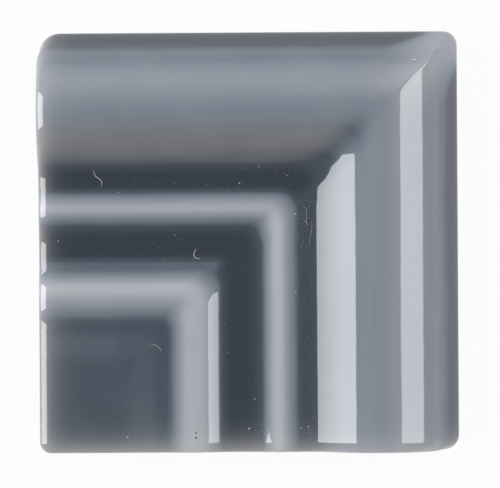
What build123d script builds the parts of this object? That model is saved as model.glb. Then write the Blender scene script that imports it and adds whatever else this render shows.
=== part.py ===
"""Corner moulding tile: one glazed ceramic piece that carries a moulding round a right angle.

Millimetres. The tile lies on its back with the moulding up. The outer edges are on +X and +Y, the
two cut ends that meet the straight mouldings are on -X and -Y, and the flat field fills the corner
between them.
"""
import os
from math import acos, tan

from build123d import *

# Tile
tile_side = 50.0            # both plan sides, outer edge to cut end
field_thickness = 8.5       # back to the flat field
edge_height = 5.4           # back to the top of the upright outer edges
arris_radius = 1.3          # glazed rounding of the cut ends and of their plan corners
outer_corner_radius = 1.7   # rounding of the mitre ridge where the two outer edges meet
corner_margin = 0.15        # least by which the rounding of the edge is wider than that corner

# Members of the section, as widths read inward from the outer edge
shoulder_width = 3.4        # outer edge to where the slope of the shoulder meets the crown
crown_width = 8.7           # that corner to where the crown of the roll turns down
roll_fall_width = 5.3       # crown to the foot of the roll
band_one_rake_width = 4.1   # foot of the roll to the crest of the first band
band_one_fall_width = 3.7   # that crest to the sunk flat
sunk_flat_width = 2.9       # sunk flat between the two bands
band_two_rake_width = 3.3   # sunk flat to the crest of the second band
band_two_fall_width = 3.4   # that crest to the flat field

# Heights of the section over the flat field
crown_height = 2.75
foot_height = -0.28
band_one_height = 0.5
sunk_flat_height = -0.56    # at its outer side
sunk_flat_lift = 0.11       # how much the sunk flat climbs towards the second band
band_two_height = 0.66

# Rounding of each corner of the section
edge_radius = 1.9           # top of the upright outer edge
shoulder_radius = 10.8      # outer side of the roll, from the edge up to the crown
crown_radius = 9.2          # inner side of the roll
foot_radius = 2.2
band_one_radius = 3.2
sunk_flat_radius = 4.0      # both sides of the sunk flat
band_two_radius = 7.0
field_radius = 5.0

# Keying channels pressed in the back
key_count = 4
key_width = 3.0
key_length = 38.0
key_depth = 0.8
key_pitch = 10.0
key_draft = 20.0            # degrees

# Positions that follow from the sizes above
half = tile_side / 2
crown_end = shoulder_width + crown_width
foot = crown_end + roll_fall_width
band_one = foot + band_one_rake_width
sunk_start = band_one + band_one_fall_width
sunk_end = sunk_start + sunk_flat_width
band_two = sunk_end + band_two_rake_width
field_edge = band_two + band_two_fall_width
leg_width = field_edge + field_radius
mitre = Plane(origin=(0, 0, 0), x_dir=(1, 1, 0), z_dir=(-1, 1, 0))


def at(inset, over_field):
    """Point of the section from its inset and its height over the field."""
    return Vector(half - inset, field_thickness + over_field)


def fitted(points, radii):
    """Radii of the inner corners of a polyline, each held to what its two sides can carry."""
    sides = [end - start for start, end in zip(points, points[1:])]
    reach = []
    for radius, before, after in zip(radii, sides, sides[1:]):
        turn = acos(before.normalized().dot(after.normalized()))
        reach.append(radius * tan(turn / 2))
    needs = [start + end for start, end in zip([0, *reach], [*reach, 0])]
    shares = [min(1, 0.98 * side.length / need) for side, need in zip(sides, needs)]
    return [radius * min(pair) for radius, pair in zip(radii, zip(shares, shares[1:]))]


corners = [
    Vector(half, 0),
    Vector(half, edge_height),
    at(shoulder_width, crown_height),
    at(crown_end, crown_height),
    at(foot, foot_height),
    at(band_one, band_one_height),
    at(sunk_start, sunk_flat_height),
    at(sunk_end, sunk_flat_height + sunk_flat_lift),
    at(band_two, band_two_height),
    at(field_edge, 0),
    at(leg_width, 0),
]
roundings = fitted(corners, [
    edge_radius, shoulder_radius, crown_radius, foot_radius, band_one_radius,
    sunk_flat_radius, sunk_flat_radius, band_two_radius, field_radius,
])

with BuildPart() as tile:
    # Section of the leg beside +Y, run along X
    with BuildSketch(Plane.YZ.offset(-half)):
        with BuildLine():
            moulded = FilletPolyline(*corners, radius=roundings)
            Polyline(moulded @ 1, (half - leg_width, 0), moulded @ 0)
        make_face()
    extrude(amount=tile_side)

    # Mitre: keep the half beside +Y and mirror it to the leg beside +X
    split(bisect_by=mitre, keep=Keep.TOP)
    mirror(about=mitre)

    # Flat field in the corner between the two legs
    field_side = tile_side - leg_width
    with BuildSketch(Plane.XY):
        with Locations((-half, -half)):
            Rectangle(field_side, field_side, align=Align.MIN)
    extrude(amount=field_thickness)

    # Outer corner: the ridge of the mitre is rounded from the back up to the crown, no wider than
    # the rounding of the edge carries
    outer_corner = tile.edges().filter_by(Axis.Z).sort_by_distance((half, half, 0))[0]
    fillet(outer_corner, radius=min(outer_corner_radius, roundings[0] - corner_margin))

    # Cut ends: the glaze rounds every member of the section and the plan corners
    cut_ends = tile.edges().filter_by(
        lambda edge: min((edge @ 0.5).X, (edge @ 0.5).Y) < -half + 0.001 and (edge @ 0.5).Z > 0.001
    )
    fillet(cut_ends, radius=arris_radius)

    # Back: drafted keying channels for the bedding mortar
    with BuildSketch(Plane.XY):
        with GridLocations(key_pitch, key_pitch, 1, key_count):
            SlotOverall(key_length, key_width)
    extrude(amount=key_depth, taper=key_draft, mode=Mode.SUBTRACT)

os.makedirs("parts", exist_ok=True)
tile.part.label = "corner_moulding_tile"
export_step(tile.part, "parts/corner_moulding_tile.step")
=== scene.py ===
"""Looks of the glazed corner moulding tile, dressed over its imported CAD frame.

Lengths are in millimetres, unless a comment says m, and become metres where a mesh or a lamp is made.
The tile lies on its back: X to the right, Y up the picture, Z out of the face. Outer edges are on +X
and +Y, cut ends on -X and -Y. An inset is a distance in from the outer edge.
"""
import logging
import math
from dataclasses import dataclass, field
from enum import Enum
from typing import Any

import bpy
import numpy as np
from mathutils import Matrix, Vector


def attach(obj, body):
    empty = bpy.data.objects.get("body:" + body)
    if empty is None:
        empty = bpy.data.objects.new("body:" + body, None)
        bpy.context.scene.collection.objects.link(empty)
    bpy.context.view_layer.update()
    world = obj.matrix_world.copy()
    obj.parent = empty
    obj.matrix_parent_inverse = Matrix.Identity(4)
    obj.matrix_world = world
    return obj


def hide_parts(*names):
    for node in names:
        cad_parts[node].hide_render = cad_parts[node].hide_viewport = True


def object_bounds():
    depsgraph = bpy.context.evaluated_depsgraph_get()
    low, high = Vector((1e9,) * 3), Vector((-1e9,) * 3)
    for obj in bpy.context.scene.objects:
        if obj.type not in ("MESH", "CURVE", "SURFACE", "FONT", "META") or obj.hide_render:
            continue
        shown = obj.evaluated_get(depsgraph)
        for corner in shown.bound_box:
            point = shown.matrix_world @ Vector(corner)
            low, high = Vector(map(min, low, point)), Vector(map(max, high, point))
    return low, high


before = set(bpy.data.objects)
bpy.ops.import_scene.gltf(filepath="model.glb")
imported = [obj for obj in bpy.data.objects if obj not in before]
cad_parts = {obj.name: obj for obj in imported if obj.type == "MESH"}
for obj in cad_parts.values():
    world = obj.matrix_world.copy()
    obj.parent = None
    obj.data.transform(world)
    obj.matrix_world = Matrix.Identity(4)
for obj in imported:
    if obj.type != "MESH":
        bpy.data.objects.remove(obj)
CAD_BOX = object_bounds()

LOG = logging.getLogger("corner_moulding_tile")
MM = 0.001
BODY = "root"
NODE = "corner_moulding_tile"
STEP = 0.02  # mm between the samples of a curve that is blurred
RUN_OUT = 2.0  # mm that it runs on past what is used of it
TINY = 1e-9  # keeps a division off zero
EDGE = (-2.0, -1.0)  # rise of a zone that is full from the outer edge on
NOISE_SPAN = (0.3, 0.7)  # range in which most of a noise lies
PASSAGE = ("LINEAR", "SMOOTHSTEP")  # Blender's names of a plain and an eased one
MIX_A, MIX_B, MIX_RESULT = 6, 7, 2  # colour sockets of Blender's mix node

Array = np.ndarray
Row = tuple[float, ...]
Pair = tuple[float, float]
Triple = tuple[float, float, float]
Thing = bpy.types.Object
Tree = bpy.types.NodeTree
Socket = bpy.types.NodeSocket


class Side(Enum):
    """Side of the tile on which a lamp stands, with its sign along X."""

    LEFT = -1
    RIGHT = 1


def linear(code: str) -> Row:
    """Turn six sRGB hex digits into the linear colour, with an alpha of 1, that a shader works in."""
    parts = [int(code[i:i + 2], 16) / 255 for i in (0, 2, 4)]
    return (*(p / 12.92 if p <= 0.04045 else ((p + 0.055) / 1.055) ** 2.4 for p in parts), 1.0)


def smooth(value: Array, start: float, end: float) -> Array:
    """Ease from 0 at the start to 1 at the end with no corner at either."""
    share = np.clip((value - start) / (end - start), 0, 1)
    return share * share * (3 - 2 * share)


def stepped(value: Array, levels: Row, spans: tuple[Pair, ...]) -> Array:
    """Level at each value, which passes from one level to the next eased over the span between them."""
    steps = zip(levels, levels[1:], spans)
    return sum(((after - before) * smooth(value, *span) for before, after, span in steps), levels[0])


def bell(value: Array, width: float) -> Array:
    """Bell that is 1 at 0: e to the power of minus the square of value over width."""
    return np.exp(-(value / width) ** 2)


def blurred(line: Array, width: float) -> Array:
    """Even a line of samples out with a Gaussian that reaches four widths to each side.

    Args:
        line: samples, one for each step.
        width: of the Gaussian, mm.

    Returns:
        Samples, without those nearer to an end of the line than that reach.
    """
    reach = int(4 * width / STEP)
    kernel = np.exp(-0.5 * (np.arange(-reach, reach + 1) * STEP / width) ** 2)
    return np.convolve(line, kernel / kernel.sum(), "valid")


def add_node(tree: Tree, kind: str, inputs: dict[Any, Any] | None = None,
             **settings: Any) -> bpy.types.Node:
    """Add one node, set it up and feed its inputs.

    Args:
        tree: node tree that takes the node.
        kind: Blender's name of the node type, without ShaderNode before it.
        inputs: constant or other node's output for each input, by name or number.
        settings: node properties to set.

    Returns:
        The new node.
    """
    node = tree.nodes.new("ShaderNode" + kind)
    for name, value in settings.items():
        setattr(node, name, value)
    for socket, value in (inputs or {}).items():
        if isinstance(value, Socket):
            tree.links.new(value, node.inputs[socket])
        else:
            node.inputs[socket].default_value = value
    return node


def calculate(tree: Tree, operation: str, *terms: Any) -> Socket:
    """Add one calculation on constants or outputs."""
    return add_node(tree, "Math", dict(enumerate(terms)), operation=operation).outputs[0]


def attribute(tree: Tree, name: str) -> Socket:
    """Read one of the marks that the points of a mesh carry."""
    return add_node(tree, "Attribute", attribute_name=name).outputs["Fac"]


def noise(tree: Tree, place: Socket, size: float, detail: float = 2.0,
          roughness: float = 0.5) -> Socket:
    """Add soft noise, 0 to 1, whose patches are of the given size, mm."""
    inputs = {"Vector": place, "Scale": 1 / (size * MM), "Detail": detail, "Roughness": roughness}
    return add_node(tree, "TexNoise", inputs).outputs["Fac"]


def remap(tree: Tree, value: Socket, start: Pair, end: tuple[Any, Any] = (0.0, 1.0),
          eased: bool = False) -> Socket:
    """Map the start range onto the end range and hold it at both ends, with no corner there if eased."""
    inputs = dict(zip(("Value", "From Min", "From Max", "To Min", "To Max"), (value, *start, *end)))
    return add_node(tree, "MapRange", inputs, interpolation_type=PASSAGE[eased]).outputs["Result"]


def mix(tree: Tree, share: Socket, first: Any, second: Any, blend: str = "MIX") -> Socket:
    """Mix two colours, constants or outputs, by the share of the second."""
    inputs = {"Factor": share, MIX_A: first, MIX_B: second}
    return add_node(tree, "Mix", inputs, data_type="RGBA", blend_type=blend).outputs[MIX_RESULT]


def ramp(tree: Tree, factor: Socket, stops: list[tuple[float, str]]) -> Socket:
    """Add a colour ramp with the given stops.

    Args:
        tree: node tree that takes the ramp.
        factor: output that drives it.
        stops: position and sRGB hex colour of each stop, in order.

    Returns:
        The ramp's colour output.
    """
    node = add_node(tree, "ValToRGB", {"Fac": factor})
    elements = node.color_ramp.elements
    while len(elements) < len(stops):
        elements.new(0.5)
    for element, (position, code) in zip(elements, stops):
        element.position = position
        element.color = linear(code)
    return node.outputs["Color"]


def new_material(name: str) -> tuple[bpy.types.Material, Tree]:
    """Start an empty node material.

    Args:
        name: name of the finish.

    Returns:
        The material and its cleared node tree.
    """
    material = bpy.data.materials.new(name)
    material.use_nodes = True
    material.node_tree.nodes.clear()
    return material, material.node_tree


def end_in(tree: Tree, inputs: dict[Any, Any]) -> None:
    """End a material in one principled shader with the given inputs."""
    shader = add_node(tree, "BsdfPrincipled", inputs)
    add_node(tree, "OutputMaterial", {"Surface": shader.outputs[0]})


def link_object(name: str, data: Any) -> Thing:
    """Make an object and link it to the scene.

    Args:
        name: name of the object.
        data: its mesh, lamp or camera.

    Returns:
        The new object, at the origin.
    """
    thing = bpy.data.objects.new(name, data)
    bpy.context.scene.collection.objects.link(thing)
    return thing


@dataclass(frozen=True)
class SlateGlaze:
    """Translucent slate-grey glaze, fired glossy over a pale body.

    The colour goes by how deep the glaze stands: pooled in the hollows it is nearly slate black,
    at flat-field depth dark grey, and where it drew off the crests the pale body shows through it.
    The index it reads also carries painted shade and painted highlights.
    """

    name: str = "slate_glaze_fired_glossy"
    stops: tuple[tuple[float, str], ...] = (
        (-0.30, "C5C7CD"), (-0.18, "B3B8BE"), (-0.10, "959AA4"), (-0.07, "868F9A"), (-0.04, "747E89"),
        (0.00, "4A5560"), (0.05, "404955"), (0.10, "37404B"), (0.30, "2F3943"),
    )  # depth index and colour there
    ior: float = 1.7  # heavy, glossy glaze
    roughness: float = 0.045
    cloud_mm: float = 7.0  # size of the slow clouding in the glaze
    cloud_share: float = 0.005  # how far clouding moves the depth index
    peel_mm: float = 4.5  # size of the faint orange peel in the fired surface
    peel_depth_mm: float = 0.02
    warm: str = "FFF0E5"  # tint of a painted warm reflection on the upper roll's inner side
    drawn: str = "D7D7D8"  # where it drew off the cut ends and the body shows
    film_mm: float = 1.1  # size of the patches of dust film
    film_span: Pair = (0.45, 0.75)  # noise at which that film begins and is thickest
    film_roughness: float = 0.09  # roughness where it is thickest
    ragged_mm: float = 3.0  # size of the tongues in the glaze's lower edge
    ragged_share: float = 0.35  # how far they change the cover
    line: Pair = (0.5, 0.56)  # cover at which the glaze begins and is closed


@dataclass(frozen=True)
class BareBody:
    """Unglazed fired body on the back and low on the sides: pale, dry and grainy."""

    pale: str = "D9D0C2"
    warm: str = "C9BBA7"
    roughness: float = 0.85
    grain_mm: float = 0.5


@dataclass(frozen=True)
class LintAndPaintedLight:
    """Dry lint and dust, pale to dark by its tone, and matt; it also colours a painted glint and the
    painted shade of two pinholes.
    """

    name: str = "lint_dry_and_painted_light"
    stops: tuple[tuple[float, str], ...] = ((0.0, "2A2E33"), (0.5, "868B90"), (1.0, "C9CBCC"))
    roughness: float = 0.9
    mottle_mm: float = 0.06  # size of the light and dark in a grain
    mottle_share: float = 0.3  # how far it changes the tone


@dataclass(frozen=True)
class Zone:
    """Stretch of the section in which something changes, eased in and out."""

    change: float  # at its fullest
    span: tuple[float, float, float, float]  # insets: begins, full, still full, over

    def at(self, inset: Array) -> Array:
        """Change at an inset: an eased rise times an eased fall."""
        return self.change * smooth(inset, *self.span[:2]) * (1 - smooth(inset, *self.span[2:]))


@dataclass
class Section:
    """Moulded section, read inward from the outer edge, heights over the flat field."""

    tile_side: float = 50.0
    field_thickness: float = 8.5
    corners: tuple[Pair, ...] = (
        (0.0, -3.1), (3.4, 2.75), (12.1, 2.75), (17.4, -0.28), (21.5, 0.5),
        (25.3, -0.53), (28.1, -0.45), (31.4, 0.66), (34.8, 0.0),
    )
    radii: Row = (0.6, 11.0, 9.2, 3.4, 3.2, 4.5, 5.2, 7.0, 5.0)
    leg_width: float = 38.8
    flow: float = 0.22  # how far molten glaze evens the section out
    skin: float = 0.004  # inset at which the section has left the outer wall
    arc_points: int = 81
    rows: int = 130

    def polyline(self) -> Array:
        """Round each corner with an arc that is tangent to both of its sides.

        Returns:
            Points (inset, height over the field), from the foot of the outer wall to the field.
        """
        points = [(0.0, -self.field_thickness), *self.corners, (self.leg_width + RUN_OUT, 0.0)]
        points = np.array(points)
        back, forth = points[:-2] - points[1:-1], points[2:] - points[1:-1]
        back /= np.linalg.norm(back, axis=1, keepdims=True)
        forth /= np.linalg.norm(forth, axis=1, keepdims=True)
        radius = np.array(self.radii)[:, None]
        half_turn = (math.pi - np.arccos((back * forth).sum(1, keepdims=True))) / 2
        reach = radius * np.tan(half_turn)
        middle = back + forth
        middle /= np.linalg.norm(middle, axis=1, keepdims=True)
        centre = points[1:-1] + middle * np.hypot(radius, reach)
        swing = np.linspace(-1, 1, self.arc_points) * half_turn
        side = np.stack([-middle[:, 1], middle[:, 0]], 1)
        turn = np.sign((side * forth).sum(1, keepdims=True))
        arcs = (centre[:, None] - middle[:, None] * (radius * np.cos(swing))[..., None]
                + side[:, None] * (turn * radius * np.sin(swing))[..., None])
        return np.concatenate([points[:1], arcs.reshape(-1, 2), points[-1:]])

    def sampled(self) -> tuple[Array, Array, Array]:
        """Even samples of the section from the top of the outer wall to the field.

        Arc length is the parameter. A Gaussian as wide as the flow evens the curvature out, and the
        normal is the tangent of that curve turned by a right angle.

        Returns:
            Insets, heights over the back and normals (towards the outer edge, up), a row for each.
        """
        line = self.polyline()
        along = np.concatenate([[0], np.cumsum(np.linalg.norm(np.diff(line, axis=0), axis=1))])
        fine = np.arange(0, along[-1], STEP)
        even = [blurred(np.interp(fine, along, line[:, k]), self.flow) for k in (0, 1)]
        even = np.stack(even, 1)
        even[:, 0] = np.maximum(even[:, 0], 0)
        tangent = np.gradient(even, STEP, axis=0)
        tangent /= np.linalg.norm(tangent, axis=1, keepdims=True)
        first = int(np.argmax(even[:, 0] > self.skin))
        last = int(np.argmax(even[:, 0] >= self.leg_width))
        pick = np.linspace(first, last, self.rows + 1)
        index = np.arange(len(even))
        rows = np.stack([np.interp(pick, index, even[:, k]) for k in (0, 1)], 1)
        normal = np.stack([np.interp(pick, index, tangent[:, k]) for k in (1, 0)], 1)
        rows[0, 0] = 0
        rows[-1] = (self.leg_width, 0)
        normal[0] = (1, 0)
        normal[-1] = (0, 1)
        return rows[:, :1], rows[:, 1:] + self.field_thickness, normal[:, None, :]


@dataclass
class GlazeDepthAndPaintedLight:
    """How deep the fired glaze stands over the face, as an index: below 0 thin, above 0 pooled.

    Molten glaze leaves crests and gathers in hollows, so the index goes by the members of the
    section. It also gathers in the mitre's valley and leaves its ridge. Painted light is added to the
    index too: painted shade at the outer edges and in the upper leg, a painted highlight on the
    upper leg's second band and painted sheen on the right roll.
    """

    half: float
    labels: tuple[str, ...] = ("glaze_depth_and_painted_light", "glaze_cover", "painted_warm_reflection", "glaze_drawn")
    members: tuple[Pair, ...] = (
        (13.8, -0.07), (14.9, -0.05), (16.3, -0.012), (17.9, 0.045), (18.9, 0.02), (20.5, -0.10),
        (21.6, -0.23), (22.5, -0.115), (23.5, 0.0), (24.5, 0.085), (26.2, 0.15), (27.4, 0.10),
        (28.3, 0.0), (29.5, -0.105), (30.4, -0.17), (32.6, -0.17), (33.5, -0.07), (34.4, -0.008),
        (35.1, 0.004), (36.6, -0.008), (38.2, -0.008), (40.5, 0.0),
    )  # inset and depth index there
    blur: float = 0.28  # how softly one depth passes into the next
    legs: Pair = (-1.0, 1.0)  # distance past the mitre over which the right leg becomes the upper
    upper_levels: Row = (-0.008, 0.008, 0.036, 0.026)  # change of the index in the upper leg, darker above 0: brow, roll, two bands
    upper_spans: tuple[Pair, ...] = ((7.3, 9.3), (15.0, 18.0), (25.0, 28.0))
    upper_zones: tuple[Zone, ...] = (
        Zone(0.012, (8.5, 11.0, 14.0, 16.0)), Zone(0.034, (20.6, 21.8, 22.2, 23.0)),
        Zone(0.045, (31.0, 32.4, 32.7, 33.9)),
    )  # painted shade on the inner sides of roll and bands, which face away from the light
    upper_bells: tuple[Triple, ...] = ((-0.05, 30.4, 0.8), (0.10, 17.6, 1.1))  # painted highlight on the second band's outer side, and darker at the roll's foot: change, inset, width
    upper_end: Pair = (33.6, 35.0)  # insets between which these changes die out
    first_shift: float = 0.75  # how far out the upper leg's first band is read, which puts painted shade on its inner side
    first_rise: Pair = (17.8, 18.8)
    first_fall: Pair = (19.0, 23.8)
    second_shift: Triple = (1.4, 27.15, 1.15)  # the same for its second band: most, inset, width
    right_painted_sheen: Zone = Zone(-0.038, (2.0, 3.2, 6.6, 9.6))  # painted sheen about the softbox reflections, paler on the outer side of the right roll
    streak: float = 0.004  # unevenness that runs along the moulding
    streak_waves: tuple[Row, ...] = (
        (1.0, 2.2, 1.1, 8.3, 0.0), (0.8, 3.9, 1.4, 5.7, 1.0), (0.7, 6.7, 1.7, 4.1, 2.3),
    )  # share, turn for each mm, drift of that turn, its length and start
    streak_end: Pair = (34.0, 37.0)
    end_drawn: Pair = (0.64, 0.58)  # share drawn off at the left and lower end
    end_reach: Pair = (0.80, 1.10)  # how far in that shows on the bands
    end_spread: float = 0.34  # how much further on the left roll and field
    end_bands: Zone = Zone(1.0, (13.0, 16.0, 32.0, 35.0))
    rim_painted_shade: Pair = (0.45, 0.22)  # painted shade on the steep upper and right rims, where light falls off
    rim_reach: Pair = (1.05, 1.15)  # how far in that shows
    rim_gap: Pair = (1.5, 5.5)  # distance from the mitre over which it grows in
    ridge: Zone = Zone(-0.06, (*EDGE, 4.0, 9.0))  # drawing off the mitre's ridge
    ridge_width: float = 2.2
    valley: Zone = Zone(0.042, (9.5, 12.0, 16.5, 18.0))  # gathering in the mitre's valley
    valley_width: float = 1.9
    warm_reflection_zone: Zone = Zone(1.0, (9.5, 13.6, 14.0, 17.0))  # painted warm reflection on the roll's inner side
    warm_reflection_legs: Pair = (-0.5, 2.5)  # distance past the mitre in which it grows in
    side: Row = (-0.005, 1.0, 0.0, 0.06)  # marks of the upright sides
    side_reach: float = 0.55  # how far below the edge they are taken on

    def streaks(self, inset: Array, along: Array) -> Array:
        """Faint drawing lines: three sines of the inset whose phase drifts slowly along a leg.

        Args:
            inset: insets, mm.
            along: distance along the leg, mm.

        Returns:
            Change of the depth index.
        """
        wave, whole = 0.0, 0.0
        for share, turn, drift, length, start in self.streak_waves:
            wave = wave + share * np.sin(inset * turn + drift * np.sin(along / length + start))
            whole += share
        return self.streak * wave / whole * (1 - smooth(inset, *self.streak_end))

    def upper_shading(self, inset: Array) -> Array:
        """Painted shade and highlight of the upper leg, as a change of the depth index: levels, zones and
        bells of the inset.

        Args:
            inset: insets, mm.

        Returns:
            Change of the depth index.
        """
        change = stepped(inset, self.upper_levels, self.upper_spans)
        change = change + sum(zone.at(inset) for zone in self.upper_zones)
        for most, middle, width in self.upper_bells:
            change = change + most * bell(inset - middle, width)
        return change * (1 - smooth(inset, *self.upper_end))

    def at(self, inset: Array, x: Array, y: Array) -> Array:
        """Depth index at points of the face.

        The members' depths are joined by straight lines and blurred, and the upper leg reads them
        a little further in, which puts painted shade on the inner sides of its bands. Each leg's own
        changes are added: painted shade and a painted highlight in the upper leg, painted sheen on the
        right roll. Then painted shade at the outer edges, and what draws off the ridge or gathers in the
        valley: a zone times a bell about the mitre.

        Args:
            inset: insets, mm.
            x: plan X, mm.
            y: plan Y, mm.

        Returns:
            Depth index.
        """
        fine = np.arange(-RUN_OUT, 2 * self.half + RUN_OUT, STEP)
        soft = blurred(np.interp(fine, *np.array(self.members).T), self.blur)
        trim = (len(fine) - len(soft)) // 2
        lean = (x - y) / math.sqrt(2)
        upper = smooth(-lean, *self.legs)
        # The upper leg reads the bands further in, so their inner sides get painted shade
        start, end = self.first_fall
        shift = self.first_shift * smooth(inset, *self.first_rise)
        shift = shift * np.clip((end - inset) / (end - start), 0, 1)
        most, middle, width = self.second_shift
        shift = shift + most * bell(inset - middle, width)
        index = np.interp(inset + upper * shift, fine[trim:-trim], soft)
        index = index + self.streaks(inset, np.where(lean < 0, x, y))
        # Painted shade and highlight in the upper leg, painted sheen on the right roll
        index = index + upper * self.upper_shading(inset) + (1 - upper) * self.right_painted_sheen.at(inset)
        # Painted shade on the steep outer rims, growing in away from the mitre
        beside = smooth(np.abs(lean), *self.rim_gap)
        for share, rim_shade, width in zip((upper, 1 - upper), self.rim_painted_shade, self.rim_reach):
            index = index + share * beside * rim_shade * np.exp(-inset / width)
        index = index + bell(lean, self.ridge_width) * self.ridge.at(inset)
        return index + bell(lean, self.valley_width) * self.valley.at(inset)

    def marks(self, inset: Array, grid: Array) -> Array:
        """What the glaze's shader reads at each point, in the order of the labels.

        The share drawn off dies away with the distance from each cut end.

        Args:
            inset: insets, mm.
            grid: points, mm.

        Returns:
            Depth index with its painted light, cover, painted warm reflection and share drawn off.
        """
        x, y = grid[..., 0], grid[..., 1]
        index = self.at(inset, x, y)
        # Painted warm reflection of a warm surrounding, on the upper roll's inner side
        warm = smooth((y - x) / math.sqrt(2), *self.warm_reflection_legs) * self.warm_reflection_zone.at(inset)
        left, lower = self.end_reach
        left = left + self.end_spread * (1 - self.end_bands.at(inset))
        kept = 1 - self.end_drawn[0] * np.exp(-(x + self.half) / left)
        kept = kept * (1 - self.end_drawn[1] * np.exp(-(y + self.half) / lower))
        return np.stack([index, np.ones_like(index), warm, 1 - kept], -1)


@dataclass
class Mesher:
    """Gathers grids of points and welds them into one closed mesh."""

    points: list[Array] = field(default_factory=list)
    quads: list[Array] = field(default_factory=list)
    marks: list[Array] = field(default_factory=list)
    count: int = 0
    weld: float = 1e4  # steps in a millimetre: points on the same step become one

    def add(self, grid: Array, marks: Array, flip: bool = False) -> None:
        """Add one grid of points.

        Args:
            grid: points, rows by columns by three, mm.
            marks: numbers that each point carries, rows by columns by one for each label.
            flip: turn the faces over.
        """
        rows, columns = grid.shape[:2]
        index = self.count + np.arange(rows * columns).reshape(rows, columns)
        corners = [index[:-1, :-1], index[1:, :-1], index[1:, 1:], index[:-1, 1:]]
        quads = np.stack(corners, -1).reshape(-1, 4)
        self.points.append(grid.reshape(-1, 3))
        self.marks.append(marks.reshape(rows * columns, -1))
        self.quads.append(quads[:, ::-1] if flip else quads)
        self.count += rows * columns

    def make(self, name: str, labels: tuple[str, ...]) -> Thing:
        """Weld the grids and make a smooth-shaded object of them.

        Args:
            name: name of the piece.
            labels: names of the marks, which become point attributes.

        Returns:
            The new object, in metres, at the origin.
        """
        points = np.concatenate(self.points)
        keys = np.round(points * self.weld).astype(np.int64)
        _, first, place = np.unique(keys, axis=0, return_index=True, return_inverse=True)
        quads = place.reshape(-1)[np.concatenate(self.quads)]
        marks = np.concatenate(self.marks)[first]
        # A quad that meets a pole has one corner twice, so it becomes a triangle
        same = quads == np.roll(quads, -1, axis=1)
        thin = same.sum(1) == 1
        triangles = quads[thin][~same[thin]].reshape(-1, 3)
        mesh = bpy.data.meshes.new(name)
        mesh.from_pydata(points[first] * MM, [], [*quads[~same.any(1)].tolist(), *triangles.tolist()])
        mesh.validate()
        for column, label in enumerate(labels):
            values = mesh.attributes.new(label, "FLOAT", "POINT")
            values.data.foreach_set("value", marks[:, column].astype(np.float32))
        mesh.polygons.foreach_set("use_smooth", np.ones(len(mesh.polygons), bool))
        mesh.update()
        return link_object(name, mesh)


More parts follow.
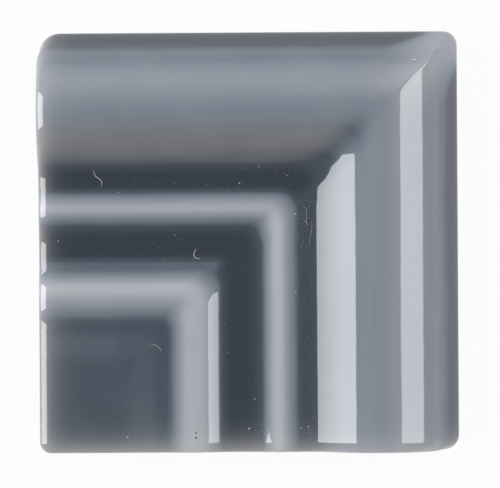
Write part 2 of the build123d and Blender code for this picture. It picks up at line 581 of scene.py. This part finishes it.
@dataclass
class GlazedTile:
    """The tile: moulded face with rounded cut ends, upright sides and a keyed back."""

    section: Section = field(default_factory=Section)
    glaze: SlateGlaze = SlateGlaze()
    body: BareBody = BareBody()
    mitre_radii: Row = (1.7, 0.25, 2.2, 4.0, 2.3)  # in plan: corner, ridge, valley, roll's foot, bands
    mitre_spans: tuple[Pair, ...] = ((0.3, 2.6), (8.0, 11.5), (14.5, 16.6), (16.6, 19.5))
    mitre_fade: float = 8.0  # width over which the mitre sharpens into the field's corner
    lower_swell: Zone = Zone(0.14, (18.0, 20.0, 22.4, 24.2))  # how much prouder the first band stands
    swell_reach: Pair = (19.5, 24.3)  # distances below the middle between which it swells
    glaze_roll: float = 2.1  # radius of the glaze as it rolls over a cut end
    roll_turn: float = 36.0  # degrees that it turns on that radius
    arris: float = 0.3  # radius of the edge that follows
    left_corner: float = 2.6  # plan radius of the corner between left end and upper edge
    lower_corner: float = 1.8  # the same between lower end and right edge
    corner_reach: float = 3.4  # inset by which those corners have passed into the ends' rounding
    half_columns: int = 96  # columns from a cut end to the mitre
    crowding: float = 1.25  # power that draws the columns to the mitre
    roll_rows: int = 8
    arris_rows: int = 5
    wall_rows: int = 14
    cover_height: float = 3.0  # height on the sides at which the cover is 1
    key_lines: Row = (-15.0, -5.0, 5.0, 15.0)
    key_length: float = 38.0
    key_width: float = 3.0
    key_slope: float = 0.55  # width of a channel's sloping side
    key_depth: float = 0.8
    dip: float = 0.03  # slow unevenness of the fired face
    crossed: tuple[Pair, Pair] = ((4.1, 0.6), (5.3, 1.9))  # length and start along X and Y
    ripples: tuple[Row, ...] = ((0.6, 2.3, 6.1, 0.0), (0.5, -7.4, 2.7, 0.8))  # share, lengths, start
    ripple_margin: Pair = (1.4, 4.0)  # distance from the sides over which the ripple grows in
    bow: float = 0.08  # how far the left end falls back below the roll
    bow_span: Pair = (4.0, 13.0)  # Y between which it does so
    bow_reach: float = 5.0  # how far in that is felt

    def columns(self) -> Array:
        """Shares of the way round the L, closer together near the mitre."""
        even = np.linspace(-1, 1, 2 * self.half_columns + 1)
        return 0.5 + 0.5 * np.sign(even) * np.abs(even) ** self.crowding

    def arris_turn(self) -> Array:
        """Angles round a cut end, after the face's own, closer together on the tight edge."""
        turn = math.radians(self.roll_turn)
        return np.concatenate([np.linspace(0, turn, self.roll_rows + 1)[1:],
                               np.linspace(turn, math.pi / 2, self.arris_rows + 1)[1:]])

    def rounding(self, angle: Array | float) -> tuple[Array, Array]:
        """How far the end's rounding has come at a slope: two arcs, one after the other.

        Args:
            angle: slope of the rounding, radians.

        Returns:
            Advance out from where the face begins to turn, and drop below the face.
        """
        turn = math.radians(self.roll_turn)
        loose, tight = np.minimum(angle, turn), np.maximum(angle, turn)
        out = self.glaze_roll * np.sin(loose) + self.arris * (np.sin(tight) - math.sin(turn))
        down = self.glaze_roll * (1 - np.cos(loose)) + self.arris * (math.cos(turn) - np.cos(tight))
        return out, down

    def end_start(self, corner: float = 0.0, share: Array | float = 0.0) -> Array | float:
        """Plan coordinate where the face begins to turn to an end, or with a share to a corner's arc."""
        whole = float(self.rounding(math.pi / 2)[0])
        return -self.section.tile_side / 2 + whole + share * (corner - whole)

    def moulding(self) -> Array:
        """Carry the section along the rounded L, and the end rounding along the section.

        Point(row, column) = path(inset, share) for the face. Past each end of the path it is the
        face's last point, moved out by the rounding's advance and into the body, against the face
        normal, by its drop. Near the outer edge that passes into a plain arc in plan.

        Returns:
            Grid of points, section rows by columns from the left cut end to the lower one.
        """
        inset, height, normal = self.section.sampled()
        outer = self.section.tile_side / 2 - inset
        plain = 1 - smooth(inset, 0.0, self.corner_reach)
        left_start = self.end_start(self.left_corner, plain)
        lower_start = self.end_start(self.lower_corner, plain)
        leg_width = self.section.leg_width
        fade = 1 - smooth(inset, leg_width - self.mitre_fade, leg_width)
        radius = np.maximum(stepped(inset, self.mitre_radii, self.mitre_spans) * fade, TINY)
        arc = radius * math.pi / 2
        leg, low_leg = outer - radius - left_start, outer - radius - lower_start
        share = 2 * self.columns()[None, :]
        way = (np.minimum(share, 1) * (leg + arc / 2)
               + np.maximum(share - 1, 0) * (low_leg + arc / 2))
        turn = np.clip((way - leg) / radius, 0, math.pi / 2)
        across, up = np.sin(turn), np.cos(turn)
        first, last = np.minimum(way, leg), np.maximum(way - leg - arc, 0)
        x = left_start + first + radius * across
        y = outer - radius + radius * up - last
        swell = self.lower_swell.at(inset) * smooth(-y, *self.swell_reach)
        level = self.section.field_thickness
        face = np.stack([x, y, level + (height - level) * (1 + swell)], -1)
        facing = np.stack([normal[..., 0] * across, normal[..., 0] * up,
                           np.broadcast_to(normal[..., 1], x.shape)], -1)
        swing = self.arris_turn()
        advance, drop = self.rounding(swing)
        ends = []
        for column, corner, outward, edge in ((0, self.left_corner, (-1, 0, 0), (0, 1, 0)),
                                              (-1, self.lower_corner, (0, -1, 0), (1, 0, 0))):
            out = (1 - plain) * advance + plain * corner * np.sin(swing)
            aside = plain * corner * (1 - np.cos(swing))
            ends.append(face[:, column, None] - ((1 - plain) * drop)[..., None] * facing[:, column, None]
                        + out[..., None] * np.array(outward) - aside[..., None] * np.array(edge))
        return np.concatenate([ends[0][:, ::-1], face, ends[1]], axis=1)

    def flat(self) -> Array:
        """Flat field with its two rounded ends and the rounded corner between them.

        The unit vector along (-sin a, -sin b, cos a cos b) gives each point's slope and heading,
        with a turning over the left end and b over the lower end. The point is moved that way by
        the rounding's advance at that slope, and down by its drop.

        Returns:
            Grid of points, rows from the moulding down to the lower end, columns from the left end.
        """
        start = self.end_start()
        stop = self.section.tile_side / 2 - self.section.leg_width
        share = self.columns()[:self.half_columns + 1] * 2
        across = start + share * (stop - start)
        swing, level_part = self.arris_turn(), np.zeros(len(across))
        ends = np.full(len(swing), start)
        x = np.concatenate([ends, across])[None, :]
        y = np.concatenate([across[::-1], ends])[:, None]
        a = np.concatenate([swing[::-1], level_part])[None, :]
        b = np.concatenate([level_part, swing])[:, None]
        across_end, down_end, up = np.broadcast_arrays(np.sin(a), np.sin(b), np.cos(a) * np.cos(b))
        level = np.hypot(across_end, down_end)
        out, down = self.rounding(np.arctan2(level, up))
        out = out / np.maximum(level, TINY)
        return np.stack([x - out * across_end, y - out * down_end,
                         self.section.field_thickness - down], -1)

    def uneven(self, grid: Array) -> Array:
        """Let the fired face down by a slow ripple and draw the left end in below the roll.

        The ripple is a wave of X times a wave of Y, plus two plane waves, and fades out towards the
        sides. The left end moves in by an eased step of Y, which fades out away from that end.

        Args:
            grid: points of the face.

        Returns:
            Points let down.
        """
        x, y = grid[..., 0], grid[..., 1]
        half = self.section.tile_side / 2
        (x_length, x_start), (y_length, y_start) = self.crossed
        wave, whole = np.sin(x / x_length + x_start) * np.sin(y / y_length + y_start), 1.0
        for share, x_length, y_length, start in self.ripples:
            wave = wave + share * np.sin(x / x_length + y / y_length + start)
            whole += share
        inside = smooth(half - np.maximum(np.abs(x), np.abs(y)), *self.ripple_margin)
        near = 1 - smooth(x, -half, -half + self.bow_reach)
        grid = grid.copy()
        grid[..., 2] -= self.dip * (wave + whole) / (2 * whole) * inside
        grid[..., 0] += self.bow * (1 - smooth(y, *self.bow_span)) * near
        return grid

    def underside(self, grid: Array) -> Array:
        """Drop the face's plan points to the bed plane and press the keying channels in.

        A channel is a slot: its depth eases from the distance to the slot's middle line.

        Args:
            grid: points of the face.

        Returns:
            Points of the back.
        """
        x, y = grid[..., 0], grid[..., 1]
        reach = self.key_width / 2
        run = np.maximum(np.abs(x) - (self.key_length - self.key_width) / 2, 0)
        gap = np.min([np.hypot(run, y - line) for line in self.key_lines], axis=0)
        return np.stack([x, y, self.key_depth * (1 - smooth(gap, reach - self.key_slope, reach))], -1)

    def build(self) -> Thing:
        """Build the closed mesh and carry the glaze's marks on its points.

        Returns:
            The tile.
        """
        half = self.section.tile_side / 2
        depth = GlazeDepthAndPaintedLight(half)
        moulding, flat = self.uneven(self.moulding()), self.uneven(self.flat())
        mesher = Mesher()
        inset = np.broadcast_to(self.section.sampled()[0], moulding.shape[:2])
        mesher.add(moulding, depth.marks(inset, moulding))
        inset = half - np.maximum(flat[..., 0], flat[..., 1])
        mesher.add(flat, depth.marks(inset, flat))
        rim = np.concatenate([moulding[0], moulding[1:, -1], flat[-1, ::-1][1:],
                              flat[::-1, 0][1:], moulding[::-1, 0][1:]])[None]
        # Rows of the sides, closer together below the rim
        fall = 1 - np.linspace(0, 1, self.wall_rows + 1)[:, None] ** 2
        wall = np.stack(np.broadcast_arrays(rim[..., 0], rim[..., 1], rim[..., 2] * fall), -1)
        inset = np.broadcast_to(half - np.maximum(rim[..., 0], rim[..., 1]), wall.shape[:2])
        near = np.exp((wall[..., 2] - rim[..., 2]) / depth.side_reach)[..., None]
        marks = np.array(depth.side) + (depth.marks(inset, wall) - np.array(depth.side)) * near
        cover = depth.labels.index("glaze_cover")
        marks[..., cover] = np.clip(wall[..., 2] / self.cover_height, 0, 1)
        mesher.add(wall, marks, flip=True)
        for grid in (moulding, flat):
            bare = np.zeros(grid.shape[:2] + (len(depth.labels),))
            mesher.add(self.underside(grid), bare, flip=True)
        return mesher.make("glazed_corner_tile", depth.labels)

    def dress(self, piece: Thing) -> None:
        """Fire the glaze onto the tile and leave the body bare below it.

        Args:
            piece: the tile's mesh.
        """
        glaze, body = self.glaze, self.body
        material, tree = new_material(glaze.name)
        place = add_node(tree, "TexCoord").outputs["Object"]
        depth, cover, warm, drawn = [attribute(tree, label) for label in GlazeDepthAndPaintedLight.labels]
        # Slow clouding, about as wide as the members of the moulding
        cloud = noise(tree, place, glaze.cloud_mm, detail=3.0, roughness=0.55)
        drift = remap(tree, cloud, NOISE_SPAN, (-glaze.cloud_share, glaze.cloud_share))
        shallow, deep = glaze.stops[0][0], glaze.stops[-1][0]
        share = remap(tree, calculate(tree, "ADD", depth, drift), (shallow, deep))
        span = deep - shallow
        colour = ramp(tree, share, [((at - shallow) / span, code) for at, code in glaze.stops])
        # Painted warm reflection on the upper roll's inner side, and pale body where the glaze drew off
        # the ends
        colour = mix(tree, warm, colour, linear(glaze.warm), "MULTIPLY")
        colour = mix(tree, drawn, colour, linear(glaze.drawn))
        # Bare body: dry grain under a millimetre
        grain = noise(tree, place, body.grain_mm, detail=4.0, roughness=0.6)
        bare = ramp(tree, grain, list(zip(NOISE_SPAN, (body.warm, body.pale))))
        # Ragged lower edge of the glaze
        ragged = noise(tree, place, glaze.ragged_mm)
        lifted = calculate(tree, "MULTIPLY_ADD", ragged, glaze.ragged_share, cover)
        glazed = remap(tree, lifted, glaze.line, eased=True)
        # Patches of dust film dull the gloss a little
        film = noise(tree, place, glaze.film_mm, detail=5.0, roughness=0.7)
        dulled = remap(tree, film, glaze.film_span, (glaze.roughness, glaze.film_roughness))
        # Faint orange peel, which makes the edges of reflections waver
        peel = noise(tree, place, glaze.peel_mm, detail=1.0)
        bump = add_node(tree, "Bump", {"Height": peel, "Distance": glaze.peel_depth_mm * MM})
        end_in(tree, {
            "Base Color": mix(tree, glazed, bare, colour),
            "Roughness": remap(tree, glazed, (0.0, 1.0), (body.roughness, dulled)),
            "Normal": bump.outputs["Normal"],
            "IOR": glaze.ior,
        })
        piece.data.materials.append(material)

    def place(self) -> Thing:
        """Build, dress and set the tile in the frame.

        Returns:
            The finished tile.
        """
        piece = self.build()
        self.dress(piece)
        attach(piece, BODY)
        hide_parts(NODE)
        return piece


@dataclass
class DustAndPaintedLight:
    """Grains and lint that lie on the glaze, mostly in the hollows, with painted shade in two pinholes
    and a painted glint.
    """

    tile: Thing
    finish: LintAndPaintedLight = LintAndPaintedLight()
    half: float = 25.0
    grains: tuple[Triple, ...] = (
        (-14.5, -23.1, 0.24), (-0.1, -22.2, 0.22), (-1.1, 6.9, 0.2), (6.0, -22.1, 0.2),
        (-8.8, 0.8, 0.18), (-22.6, 0.2, 0.18), (4.6, 7.8, 0.17), (5.5, 3.2, 0.17),
        (2.5, 9.0, 0.15), (1.7, -22.8, 0.16), (6.7, 2.3, 0.15), (5.5, -6.0, 0.15),
        (-10.6, 21.9, 0.12), (0.6, -18.7, 0.14), (2.0, -14.7, 0.14), (1.2, 8.8, 0.13),
        (-15.4, 5.9, 0.13), (6.9, -22.0, 0.13),
    )  # plan place and width, here and in the next two
    specks: tuple[Triple, ...] = (
        (-11.5, 15.4, 0.12), (-12.5, 13.9, 0.12), (-9.5, 21.9, 0.1), (-1.3, 19.7, 0.1),
        (15.1, 2.5, 0.13), (15.3, 2.4, 0.1), (16.8, 0.4, 0.12), (15.3, -0.4, 0.11), (14.7, 1.1, 0.09),
    )  # faint dark ones on the rolls
    # Painted shade: two dark lumps stand in for the shade in two pinholes
    painted_pit_shade: tuple[Triple, ...] = ((-6.4, -22.6, 0.2), (-6.4, -23.2, 0.22))
    tones: Row = (0.85, 0.55, 0.42, 0.0)  # of grains, finer grains, specks and the painted pinhole shade
    scattered: int = 110  # finer grains in the hollows
    hollows: tuple[Pair, Pair] = ((16.8, 19.6), (23.6, 28.6))  # insets of the roll's foot and the flat
    foot_share: float = 0.55  # how many of them lie in the first
    first_end: float = -23.0  # where they begin along a leg
    fine_widths: Pair = (0.05, 0.12)
    drifts: tuple[tuple[float, float, float, float, int], ...] = (
        (6.6, 1.6, 0.5, 1.9, 34), (1.8, 7.6, 1.7, 0.7, 22), (1.3, -22.2, 0.5, 0.6, 18),
        (6.9, -22.3, 0.4, 0.6, 16), (20.1, -5.9, 0.3, 0.15, 7), (8.9, 5.0, 0.4, 0.2, 9),
    )  # middle and spread along X and Y, and number of finer grains
    seed: int = 11
    lobes: tuple[Triple, ...] = ((0.22, 2, 9), (0.12, 3, 7))  # depth, number, turn with X or Y
    grain_grid: tuple[int, int] = (7, 11)
    headroom: float = 1 / 3  # of a grain's width, kept free below the top of the CAD box
    fibres_and_glint: tuple[tuple[Pair, ...], ...] = (
        ((-18.3, 8.7), (-18.5, 7.2), (-17.0, 7.9), (-17.45, 6.5)),
        ((-6.2, -0.8), (-6.9, -1.7), (-6.4, -2.1), (-5.8, -2.0)),
        ((-11.7, -12.2), (-11.2, -12.0), (-10.6, -12.4), (-10.4, -13.1)),
        # Painted glint: this pale dash stands in for a small highlight on the roll near the mitre
        ((19.2, 21.3), (19.5, 21.3), (19.7, 21.3), (20.0, 21.3)),
        ((6.2, 4.3), (7.6, 3.7), (6.2, 2.6), (7.2, 1.7)),
        ((7.3, 2.5), (7.9, 1.2), (6.8, 0.4), (7.3, -0.7)),
    )  # plan control points of each
    # The fourth width and tone are those of the painted glint
    fibre_and_glint_widths: Row = (0.09, 0.09, 0.09, 0.24, 0.09, 0.09)
    fibre_and_glint_tones: Row = (0.9, 0.9, 0.62, 1.0, 0.5, 0.45)
    tube_grid: tuple[int, int] = (19, 9)
    tube_taper: float = 0.35  # power by which its ends draw to a point
    tube_lift: float = 0.35  # of its width, from the face to its middle
    face_floor: float = 4.0  # height above which the tile's points are of its face

    def ground(self, x: Array, y: Array) -> Array:
        """Height of the face under plan points: that of the nearest point of the mesh.

        Args:
            x: plan X, mm.
            y: plan Y, mm.

        Returns:
            Heights, mm.
        """
        mesh = self.tile.data
        points = np.empty(len(mesh.vertices) * 3)
        mesh.vertices.foreach_get("co", points)
        points = points.reshape(-1, 3) / MM
        points = points[points[:, 2] > self.face_floor]
        gap = (points[None, :, 0] - x[:, None]) ** 2 + (points[None, :, 1] - y[:, None]) ** 2
        return points[np.argmin(gap, axis=1), 2]

    def scatter(self) -> Array:
        """Draw the finer grains: in the two hollows, either side of the mitre, and in the drifts.

        Returns:
            Plan place and width of each, mm.
        """
        draw = np.random.default_rng(self.seed)
        number, (foot, sunk) = self.scattered, self.hollows
        inset = np.where(draw.random(number) < self.foot_share, draw.uniform(*foot, number),
                         draw.uniform(*sunk, number))
        across = self.half - inset
        along = self.first_end + draw.random(number) * (self.half - self.first_end - inset)
        upper = draw.random(number) < 0.5
        spots = [np.stack([np.where(upper, along, across), np.where(upper, across, along)], 1)]
        for x, y, wide, tall, count in self.drifts:
            spots.append(np.stack([draw.normal(x, wide, count), draw.normal(y, tall, count)], 1))
        places = np.concatenate(spots)
        return np.column_stack([places, draw.uniform(*self.fine_widths, len(places))])

    def grain(self, mesher: Mesher, spot: Array, height: float, tone: float) -> None:
        """Lay one lump: a flattened ball, half as high as it is wide, with a lumpy outline.
        Most are grains; the dark ones at the pinholes are painted shade.

        Args:
            mesher: takes the grain's points.
            spot: plan place and width, mm.
            height: height of the face under it, mm.
            tone: 0 dark to 1 pale.
        """
        rows, columns = self.grain_grid
        turn = np.linspace(0, 2 * math.pi, columns)[None, :]
        rise = np.linspace(0, math.pi, rows)[:, None]
        lump = 1.0
        for place, (depth, number, twist) in zip(spot, self.lobes):
            lump = lump + depth * np.sin(number * turn + place * twist)
        wide = spot[2] / 2 * np.sin(rise) * lump
        up = spot[2] / 4 * np.cos(rise) + 0 * turn
        points = np.stack([spot[0] + wide * np.cos(turn), spot[1] + wide * np.sin(turn), height + up], -1)
        mesher.add(points, np.full((rows, columns, 1), tone))

    def lay_tube(self, mesher: Mesher, bends: Array, width: float, tone: float) -> None:
        """Lay one thin tube, pointed at both ends, along a cubic curve of four points: lint, and once a
        pale dash that is a painted glint.

        Args:
            mesher: takes the tube's points.
            bends: plan control points, mm.
            width: of the tube, mm.
            tone: 0 dark to 1 pale.
        """
        rows, columns = self.tube_grid
        t = np.linspace(0, 1, rows)[:, None]
        weights = np.concatenate([(1 - t) ** 3, 3 * t * (1 - t) ** 2, 3 * t ** 2 * (1 - t), t ** 3], 1)
        line = weights @ bends
        thick = width / 2 * np.sin(math.pi * t) ** self.tube_taper
        height = self.ground(line[:, 0], line[:, 1])[:, None] + width * self.tube_lift
        way = np.gradient(line, axis=0)
        way /= np.linalg.norm(way, axis=1, keepdims=True)
        turn = np.linspace(0, 2 * math.pi, columns)[None, :]
        aside, up = thick * np.cos(turn), thick * np.sin(turn)
        points = np.stack([line[:, :1] - aside * way[:, 1:], line[:, 1:] + aside * way[:, :1],
                           height + up], -1)
        mesher.add(points, np.full((rows, columns, 1), tone), flip=True)

    def place(self) -> Thing:
        """Lay all grains, lint, the painted shade of two pinholes and a painted glint as one mesh, dress
        it and set it in the frame.

        Returns:
            The finished dust.
        """
        mesher = Mesher()
        groups = [np.array(self.grains), self.scatter(), np.array(self.specks), np.array(self.painted_pit_shade)]
        spots = np.concatenate(groups)
        tones = np.repeat(self.tones, [len(group) for group in groups])
        ceiling = CAD_BOX[1][2] / MM - spots[:, 2] * self.headroom
        heights = np.minimum(self.ground(spots[:, 0], spots[:, 1]), ceiling)
        for spot, height, tone in zip(spots, heights, tones):
            self.grain(mesher, spot, float(height), float(tone))
        for bends, width, tone in zip(self.fibres_and_glint, self.fibre_and_glint_widths, self.fibre_and_glint_tones):
            self.lay_tube(mesher, np.array(bends), width, tone)
        piece = mesher.make("dust_lint_and_painted_light", ("tone",))
        self.dress(piece)
        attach(piece, BODY)
        return piece

    def dress(self, piece: Thing) -> None:
        """Colour each lump and tube by its tone, a little mottled, the painted shade and painted glint
        too.

        Args:
            piece: the dust's mesh.
        """
        finish = self.finish
        material, tree = new_material(finish.name)
        mottle = noise(tree, add_node(tree, "TexCoord").outputs["Object"], finish.mottle_mm)
        shade = calculate(tree, "MULTIPLY_ADD", mottle, finish.mottle_share, -finish.mottle_share / 2)
        shade = calculate(tree, "ADD", attribute(tree, "tone"), shade)
        end_in(tree, {"Base Color": ramp(tree, shade, list(finish.stops)), "Roughness": finish.roughness})
        piece.data.materials.append(material)


@dataclass(frozen=True)
class Softbox:
    """Rectangular softbox beside the tile, long in Y, given by the angles of its two edges."""

    name: str
    side: Side
    near: float  # degrees off the vertical to its upper edge
    far: float  # the same to its lower edge
    distance: float  # m
    length: float  # m, along Y
    shift: float  # m, along Y
    radiance: float
    colour: str = "FDFEFF"

    def build(self) -> None:
        """Hang the lamp and aim it at the tile."""
        lean = math.radians((self.near + self.far) / 2)
        height = 2 * self.distance * math.tan(math.radians((self.far - self.near) / 2))
        lamp = bpy.data.lights.new(self.name, "AREA")
        lamp.shape = "RECTANGLE"
        lamp.size, lamp.size_y = self.length, height
        lamp.energy = self.radiance * math.pi * self.length * height
        lamp.color = linear(self.colour)[:3]
        holder = link_object(self.name, lamp)
        towards = Vector((self.side.value * math.sin(lean), 0, math.cos(lean)))
        holder.rotation_euler = (-towards).to_track_quat("-Z", "Y").to_euler()
        holder.location = towards * self.distance + Vector((0, self.shift, 0))


@dataclass
class Studio:
    """Pale floor, two softboxes, a soft room and a camera straight above."""

    softboxes: tuple[Softbox, ...] = (
        Softbox("softbox_left", Side.LEFT, 32.6, 68.0, 0.7, 0.50, 0.05, 5.25),
        Softbox("softbox_right", Side.RIGHT, 30.8, 60.4, 0.7, 0.52, 0.06, 3.9),
    )
    floor_side: float = 2.4  # m
    floor_colour: str = "F2F2F2"
    floor_glow: float = 0.94  # share of the floor that shows as plain white
    room_dim: str = "6A6663"
    room_light: str = "F6F7FF"  # of the bright part, beyond the upper side of the picture
    light_rise: Pair = (0.3, 0.68)  # sines towards +Y between which it grows in
    light_side: Pair = (0.2, 0.5)  # sines to either side between which it dies out
    light_foot: Pair = (0.2, 0.75)  # sines of the height between which it grows in
    sweep_rise: float = 0.36  # height of the pale sweep's fading, as a sine
    camera_height: float = 330.0  # above the floor
    camera_shift: Pair = (0.12, -0.32)
    camera_roll: float = -0.35  # degrees
    focal: float = 195.6
    sensor: float = 36.0

    def build_floor(self) -> None:
        """Lay the pale floor under the tile, as white to the camera as to a glossy glaze."""
        reach = self.floor_side / 2
        mesh = bpy.data.meshes.new("pale_floor")
        corners = reach * np.array([(-1, -1, 0), (1, -1, 0), (1, 1, 0), (-1, 1, 0)])
        mesh.from_pydata(corners, [], [(0, 1, 2, 3)])
        floor = link_object("pale_floor", mesh)
        material, tree = new_material("floor_matt_white")
        rays = add_node(tree, "LightPath").outputs
        seen = calculate(tree, "MAXIMUM", rays["Is Camera Ray"], rays["Is Glossy Ray"])
        seen = calculate(tree, "MAXIMUM", seen, rays["Is Transmission Ray"])
        share = calculate(tree, "MULTIPLY", seen, self.floor_glow)
        matt = add_node(tree, "BsdfDiffuse", {"Color": linear(self.floor_colour)})
        white = add_node(tree, "Emission", {"Color": linear("FFFFFF")})
        mixed = add_node(tree, "MixShader", {0: share, 1: matt.outputs[0], 2: white.outputs[0]})
        add_node(tree, "OutputMaterial", {"Surface": mixed.outputs[0]})
        mesh.materials.append(material)

    def build_room(self) -> None:
        """Surround the tile with a dim room that is brighter above the upper side of the picture."""
        world = bpy.data.worlds.new("soft_room")
        bpy.context.scene.world = world
        world.use_nodes = True
        tree = world.node_tree
        tree.nodes.clear()
        way = add_node(tree, "TexCoord").outputs["Generated"]
        axes = add_node(tree, "SeparateXYZ", {0: way}).outputs
        rise = remap(tree, axes["Y"], self.light_rise, eased=True)
        aside = calculate(tree, "ABSOLUTE", axes["X"])
        middle = remap(tree, aside, self.light_side, (1.0, 0.0), eased=True)
        lit = calculate(tree, "MULTIPLY", rise, middle)
        lit = calculate(tree, "MULTIPLY", lit, remap(tree, axes["Z"], self.light_foot, eased=True))
        tone = mix(tree, lit, linear(self.room_dim), linear(self.room_light))
        # Pale sweep behind the floor, so that the floor's edge doesn't draw a line in the glaze
        sweep = remap(tree, axes["Z"], (0.0, self.sweep_rise), (1.0, 0.0), eased=True)
        tone = mix(tree, sweep, tone, linear(self.floor_colour))
        shade = add_node(tree, "Background", {"Color": tone})
        add_node(tree, "OutputWorld", {"Surface": shade.outputs[0]})

    def build_camera(self) -> None:
        """Set the camera straight above the tile."""
        lens = bpy.data.cameras.new("camera")
        lens.sensor_width = self.sensor
        lens.lens = self.focal
        camera = link_object("camera", lens)
        camera.location = Vector((*self.camera_shift, self.camera_height)) * MM
        camera.rotation_euler = (0, 0, math.radians(self.camera_roll))
        bpy.context.scene.camera = camera

    def build(self) -> None:
        """Set up floor, room, lamps and camera."""
        self.build_floor()
        self.build_room()
        for softbox in self.softboxes:
            softbox.build()
        self.build_camera()
        bpy.context.scene.view_settings.view_transform = "Standard"


def main() -> None:
    """Build the tile and its studio."""
    logging.basicConfig(level=logging.INFO, format="%(name)s: %(message)s")
    tile = GlazedTile().place()
    LOG.info("%s: %d faces", tile.name, len(tile.data.polygons))
    dust_and_painted_light = DustAndPaintedLight(tile).place()
    LOG.info("%s: %d faces", dust_and_painted_light.name, len(dust_and_painted_light.data.polygons))
    Studio().build()
    LOG.info("studio ready")


if __name__ == "__main__":
    main()
